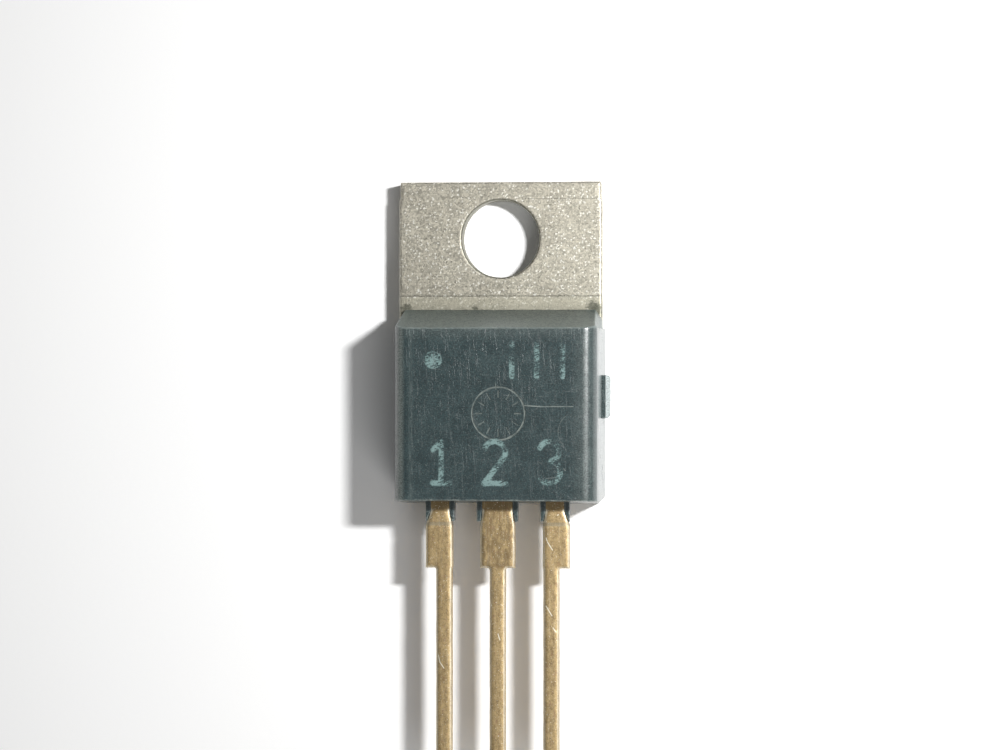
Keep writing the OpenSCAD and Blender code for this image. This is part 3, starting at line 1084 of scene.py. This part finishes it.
@dataclass
class Body:
    """The moulded body with its flash strips, gate nub and ejector ring."""

    node: str = "moulded_body"
    edge: float = 0.035
    cell: float = 0.11
    ring: Point = (0.17, -8.28)
    ring_radius: float = 1.23
    ring_spared: float = 1.5
    ring_fade: float = 0.5
    front_z: float = 4.3
    inner_low: Place = (-4.6, -12.3, 0.1)
    inner_high: Place = (4.6, -4.5, 4.3)
    ink_depth: float = 0.06
    gate_x: float = 5.0
    gate_reach: float = 0.15
    flash_y: float = -12.8
    flash_reach: float = 0.3
    tear_depth: float = 0.05
    tear_sizes: Point = (0.16, 0.07)
    unevenness: Unevenness = Unevenness(wave=0.005, nick=0.03, nick_size=0.3, seed=5.0)
    marking: Marking = field(default_factory=Marking)
    finish: MouldFinish = MouldFinish()

    def scratches(self) -> list[tuple[Point, Point, float]]:
        """Gives the scratches on the front: straight ones, an arc and a nick.

        Returns:
            Start, end and strength of each.
        """
        bow = arc((3.88, -9.12), 0.93, 120, 222, 7)
        return [
            ((1.40, -7.91), (2.1, -7.95), 0.9), ((2.1, -7.95), (3.64, -7.95), 0.7),
            ((0.05, -6.90), (0.06, -7.16), 0.8), ((2.39, -11.29), (2.85, -11.24), 0.4),
            ((3.21, -10.83), (3.28, -10.91), 1.0), *((a, b, 0.3) for a, b in zip(bow, bow[1:])),
        ]

    def from_ring(self, place: Vector) -> float:
        """Gives the distance from the middle of the ring, seen from the front."""
        return (place.xy - Vector(self.ring)).length

    def uneven(self, edges: EdgeMap):
        """Gives the rule for the uneven surface, which leaves the ring and its ticks flat.

        Args:
            edges: Where the sharp edges run.

        Returns:
            A rule for Form.move.
        """
        rule = self.unevenness.rule(edges)

        def shift(place: Vector, outward: Vector) -> Vector:
            clear = held((self.from_ring(place) - self.ring_spared) / self.ring_fade)
            return rule(place, outward) * (clear if place.z > self.front_z else 1.0)

        return shift

    def outside(self, place: Vector) -> bool:
        """Tells the outer edges that are rounded from the ring's and the hidden ones.

        Args:
            place: Place of a vertex.

        Returns:
            Whether the place is on an outer edge.
        """
        in_ring = place.z > self.front_z and self.from_ring(place) < self.ring_spared
        buried = all(low < at < high for low, at, high in zip(self.inner_low, place, self.inner_high))
        return not in_ring and not buried

    def build(self) -> None:
        """Makes the body from the CAD node's own shape and puts it into the frame."""
        form = Form.of_node(self.node)
        outer = form.sharp_edges(self.outside)
        edges = EdgeMap(outer)
        form.round_edges(outer, self.edge, 2)
        form.dice(self.cell)
        form.move(self.uneven(edges))
        form.move(self.tear)
        inked_z = mm_box(self.node)[1].z - self.ink_depth
        form.mark("edge", edges.distance)
        form.mark("ink", lambda p: self.marking.distance(p) if p.z > inked_z else 1.0)
        finish = self.finish.material(self.ring, self.ring_radius, self.scratches())
        put_in_place(form.shown("body"), self.node, Slot.MOULDING_COMPOUND, finish)

    def tear(self, place: Vector, outward: Vector) -> Vector:
        """Makes the broken face of the gate and the ends of the flash rough.

        Args:
            place: Place of a vertex.
            outward: Outward direction there.

        Returns:
            The way to move.
        """
        past_gate = (place.x - self.gate_x) / self.gate_reach
        past_flash = (self.flash_y - place.y) / self.flash_reach
        depth = self.tear_depth * held(max(past_gate, past_flash))
        coarse, fine = (abs(noise.noise(place / size)) for size in self.tear_sizes)
        return outward * (-depth * (coarse + 0.5 * fine))


@dataclass
class Lead:
    """One flat lead, punched from the frame, with its neck, its shoulder and its part in the plastic."""

    node: str
    name: str
    side: Side
    wide_in: float = 0.40
    wide_out: float = 0.87
    neck_in: float = 0.25
    neck_out: float = 0.61
    thick: float = 0.5
    half: float = 0.375
    body_y: float = -12.486
    seen_y: float = -12.586
    neck_end: float = -12.906
    flare_end: float = -13.606
    shoulder_y: float = -15.626
    fillet: float = 0.12
    roll: float = 0.08
    burr: float = 0.02
    crease_y: float = -13.54
    crease_reach: float = 0.14
    crease_depth: float = 0.012
    droop_reach: float = 0.2
    droop: float = 0.045
    droop_power: float = 1.3
    cell: float = 0.07
    seed: float = 0.0

    def __post_init__(self) -> None:
        """Takes the outer sizes from the frame."""
        low, high = mm_box(self.node)
        self.tip = low.y
        self.end = high.y
        self.top = high.z
        self.under = high.z - self.thick

    def side_line(self, wide: float, neck: float) -> list[Point]:
        """Gives one side of the lead, with the rounded corner under its shoulder.

        Args:
            wide: How far the shoulder stands out from the middle line.
            neck: How far the neck does.

        Returns:
            The points, from the tip up to the plastic.
        """
        radius = min(self.fillet, wide - self.half)
        corner = arc((self.half + radius, self.shoulder_y - radius), radius, 180, 90, 6)
        return [
            (self.half, self.tip), *corner, (wide, self.shoulder_y), (wide, self.flare_end),
            (neck, self.neck_end),
        ]

    def hidden_end(self) -> list[Point]:
        """Gives the end in the plastic, from the outer side of the neck to its inner side."""
        return [(self.neck_out, self.end), (-self.neck_in, self.end)]

    def holes(self) -> list[list[Point]]:
        """Gives the holes in the lead."""
        return []

    def set_in_place(self, form: Form) -> None:
        """Brings the flat lead to where it belongs.

        Args:
            form: The lead, round its own middle line.
        """
        if self.side is Side.LEFT:
            bmesh.ops.scale(form.mesh, vec=(-1, 1, 1), verts=form.mesh.verts)
            bmesh.ops.reverse_faces(form.mesh, faces=form.mesh.faces)
        bmesh.ops.translate(form.mesh, vec=(self.side.value * PITCH, 0, 0), verts=form.mesh.verts)

    def pressed(self, edges: EdgeMap):
        """Gives the rule for the crease in the shoulder and the front edges that the punch drew down.

        Args:
            edges: Where the sharp edges run.

        Returns:
            A rule for Form.move.
        """
        depth = 0.0 if self.side is Side.MIDDLE else self.crease_depth

        def shift(place: Vector, outward: Vector) -> Vector:
            if place.z < self.top - self.roll:
                return Vector()
            near = held(1 - abs(place.y - self.crease_y) / self.crease_reach)
            drawn = held(1 - edges.distance(place) / self.droop_reach)
            return Vector((0, 0, -depth * near - self.droop * drawn ** self.droop_power))

        return shift

    def build(self, finish: bpy.types.Material) -> None:
        """Makes the lead and puts it into the frame.

        Args:
            finish: The material that the leads share.
        """
        outer = self.side_line(self.wide_out, self.neck_out)
        inner = [(-x, y) for x, y in reversed(self.side_line(self.wide_in, self.neck_in))]
        outline = outer + self.hidden_end() + inner
        form = Form.plate(outline, self.holes(), self.under, self.top)
        front = form.sharp_edges(lambda p: p.z > self.top - NEAR and p.y < self.seen_y)
        edges = EdgeMap(front)
        form.round_edges(front, self.roll, 4)
        back = form.sharp_edges(lambda p: p.z < self.under + NEAR and p.y < self.seen_y)
        form.round_edges(back, self.burr, 2)
        form.dice(self.cell)
        form.move(self.pressed(edges))
        form.move(Unevenness(wave=0.012, nick=0.03, seed=self.seed).rule(edges))
        form.mark("edge", edges.distance)
        self.set_in_place(form)
        put_in_place(form.shown(self.name), self.node, Slot.LEAD_ALLOY, finish)


@dataclass
class OuterLead(Lead):
    """The left or the right lead, which ends inside in a bond pad with a locking hole."""

    pad_y: float = -11.886
    pad_half: float = 1.15
    lock_in: float = 0.55
    lock_radius: float = 0.25

    def hidden_end(self) -> list[Point]:
        """Gives the neck's end and the bond pad."""
        return [
            (self.neck_out, self.pad_y), (self.pad_half, self.pad_y), (self.pad_half, self.end),
            (-self.pad_half, self.end), (-self.pad_half, self.pad_y), (-self.neck_in, self.pad_y),
        ]

    def holes(self) -> list[list[Point]]:
        """Gives the locking hole."""
        return [arc((0, self.pad_y + self.lock_in), self.lock_radius, 0, 345, 23)]


@dataclass
class MiddleLead(Lead):
    """The middle lead, which bends down inside to its foot on the chip pad."""

    wide_in: float = 0.82
    wide_out: float = 0.82
    neck_in: float = 0.71
    neck_out: float = 0.71
    bend_cover: float = 0.46
    bend_radius: float = 0.54

    def __post_init__(self) -> None:
        """Works the flat length of the lead out from its bent one."""
        super().__post_init__()
        self.bend_y = self.body_y + self.bend_cover
        self.foot_y = self.bend_y + 2 * self.bend_radius
        self.quarter = 0.5 * math.pi * self.bend_radius
        self.end = self.bend_y + 2 * self.quarter + (self.end - self.foot_y)

    def bent(self, place: Vector) -> Vector:
        """Gives where a place on the flat lead goes when it is bent.

        Args:
            place: Place on the flat lead.

        Returns:
            Its place on the bent lead.
        """
        along = place.y - self.bend_y
        if along <= 0:
            return place
        middle = self.top - 0.5 * self.thick
        over = place.z - middle
        bend_z = middle - self.bend_radius
        if along < self.quarter:
            angle = along / self.bend_radius
            reach = self.bend_radius + over
            return Vector((place.x, self.bend_y + reach * math.sin(angle), bend_z + reach * math.cos(angle)))
        if along < 2 * self.quarter:
            angle = (2 * self.quarter - along) / self.bend_radius
            reach = self.bend_radius - over
            return Vector((place.x, self.foot_y - reach * math.sin(angle), bend_z - reach * math.cos(angle)))
        return Vector((place.x, self.foot_y + along - 2 * self.quarter, bend_z - self.bend_radius + over))

    def set_in_place(self, form: Form) -> None:
        """Bends the lead's end down to the pad."""
        form.move(lambda place, outward: self.bent(place) - place)


@dataclass
class Inside:
    """The chip, its solder and its bond wires, which the plastic seals in."""

    silicon: HiddenFinish = HiddenFinish(
        "polished silicon", (0.16, 0.17, 0.21), (0.11, 0.12, 0.15), 0.4, 0.2
    )
    solder: HiddenFinish = HiddenFinish(
        "dull solder", (0.46, 0.47, 0.48), (0.30, 0.31, 0.33), 1.0, 0.45
    )
    wire: HiddenFinish = HiddenFinish(
        "drawn aluminium", (0.82, 0.83, 0.85), (0.66, 0.67, 0.70), 1.0, 0.3, 0.03
    )

    def dress(self) -> None:
        """Gives the hidden CAD pieces their finishes."""
        dressed = {
            self.silicon: ("silicon_die",),
            self.solder: ("die_solder", "collector_solder"),
            self.wire: ("base_bond_wire", "emitter_bond_wire"),
        }
        for finish, nodes in dressed.items():
            material = finish.material()
            for node in nodes:
                materials = frame["nodes"][node].data.materials
                materials.clear()
                materials.append(material)
                log.info("%s dressed in %s", node, finish.name)


@dataclass(frozen=True)
class Lamp:
    """A soft lamp that looks at the part, with its width along X."""

    name: str
    place: Place
    size: Point
    level: float

    def hang(self, target: Place) -> None:
        """Hangs the lamp, so that a white sheet that faces it at the part gets its level.

        Args:
            target: Where it looks.
        """
        lamp = bpy.data.lights.new(self.name, "AREA")
        lamp.shape = "ELLIPSE"
        lamp.size, lamp.size_y = (side * MM for side in self.size)
        way = Vector(self.place) - Vector(target)
        back = way.normalized()
        up = back.cross(Vector((1, 0, 0))).normalized()
        lamp.energy = self.level * (math.pi * way.length * MM) ** 2
        hung = bpy.data.objects.new(self.name, lamp)
        hung.location = Vector(self.place) * MM
        hung.rotation_mode = "QUATERNION"
        hung.rotation_quaternion = Matrix((up.cross(back), up, back)).transposed().to_quaternion()
        hung.visible_camera = False
        bpy.context.scene.collection.objects.link(hung)


@dataclass
class Studio:
    """A plain pale floor, a soft key light, a weak fill light, a dim even surround and the camera."""

    floor_half: float = 2000.0
    floor_colour: Colour = (0.80, 0.80, 0.79)
    seen_floor_colour: Colour = (1.19, 1.19, 1.185)
    fibres: Clouds = Clouds(0.3, 4.0)
    fade: Point = (35.0, 90.0)
    surround: float = 0.13
    mirrored_surround: float = 0.22
    target: Place = (0.0, -8.0, 2.0)
    key: Lamp = Lamp("key", (47.5, 13.8, 75.0), (12.0, 6.0), 1.0)
    fill: Lamp = Lamp("fill", (38.0, -86.0, 86.0), (60.0, 60.0), 0.21)
    camera_place: Place = (8.8432, -5.3529, 107.8482)
    camera_turns: tuple[tuple[str, float], ...] = (("X", -0.011), ("Y", 0.0829), ("Z", 0.0011))
    lens: float = 80.45
    sensor: float = 36.0

    def lay_floor(self) -> None:
        """Lays the sheet of paper that the part lies on."""
        form = Form()
        half = self.floor_half
        places = ((-half, -half, 0), (half, -half, 0), (half, half, 0), (-half, half, 0))
        form.mesh.faces.new([form.mesh.verts.new(place) for place in places])
        floor = form.shown("floor")
        floor.data.materials.append(self.paper())

    def paper(self) -> bpy.types.Material:
        """Makes the paper, which the camera and reflections see as white, far off without any shading.

        Returns:
            The material.
        """
        r = Recipe.named("white paper")
        rays = r.node("LightPath").outputs
        seen = r.most(rays["Is Camera Ray"], rays["Is Glossy Ray"], rays["Is Transmission Ray"])
        colour = r.blend(seen, self.floor_colour, self.seen_floor_colour)
        relief = r.relief((r.noise(self.fibres), 0.004))
        sheet = r.node("BsdfDiffuse", {"Color": colour, "Normal": relief})
        white = r.node("Emission", {"Color": WHITE, "Strength": 1.0})
        far = r.times(seen, r.rise(r.from_middle(self.target[:2]), *self.fade))
        both = r.node("MixShader", {"Fac": far, 1: sheet.outputs[0], 2: white.outputs[0]})
        r.node("OutputMaterial", {"Surface": both.outputs[0]})
        return r.owner

    def surround_with_light(self) -> None:
        """Sets the even light of the surround, paler in reflections and white to the camera."""
        world = bpy.data.worlds.new("surround")
        bpy.context.scene.world = world
        r = Recipe(world)
        rays = r.node("LightPath").outputs
        mirrored = r.most(rays["Is Glossy Ray"], rays["Is Transmission Ray"])
        level = r.linear(mirrored, self.mirrored_surround - self.surround, self.surround)
        level = r.most(level, rays["Is Camera Ray"])
        glow = r.node("Background", {"Color": WHITE, "Strength": level})
        r.node("OutputWorld", {"Surface": glow.outputs[0]})

    def set_camera(self) -> None:
        """Sets the camera up as it stood in the photograph."""
        data = bpy.data.cameras.new("camera")
        data.sensor_width = self.sensor
        data.lens = self.lens
        data.clip_start = 0.001
        data.clip_end = 10.0
        camera = bpy.data.objects.new("camera", data)
        stand = Matrix.Translation(Vector(self.camera_place) * MM)
        for axis, angle in self.camera_turns:
            stand = stand @ Matrix.Rotation(angle, 4, axis)
        camera.matrix_world = stand
        bpy.context.scene.collection.objects.link(camera)
        bpy.context.scene.camera = camera

    def build(self) -> None:
        """Sets everything up round the part."""
        bpy.context.scene.view_settings.view_transform = "Standard"
        self.lay_floor()
        self.surround_with_light()
        self.key.hang(self.target)
        self.fill.hang(self.target)
        self.set_camera()


def main() -> None:
    """Builds and dresses every piece and sets the studio up."""
    logging.basicConfig(level=logging.INFO, format="%(message)s")
    Tab().build()
    log.info("tab made")
    Body().build()
    log.info("body made")
    leads = [
        OuterLead("base_lead", "left_lead", Side.LEFT, seed=1.0),
        MiddleLead("collector_lead", "middle_lead", Side.MIDDLE, seed=2.0),
        OuterLead("emitter_lead", "right_lead", Side.RIGHT, seed=3.0),
    ]
    plating = LeadFinish().material(Lead.crease_y)
    for lead in leads:
        lead.build(plating)
        log.info("%s made", lead.name)
    Inside().dress()
    Studio().build()


if __name__ == "__main__":
    main()
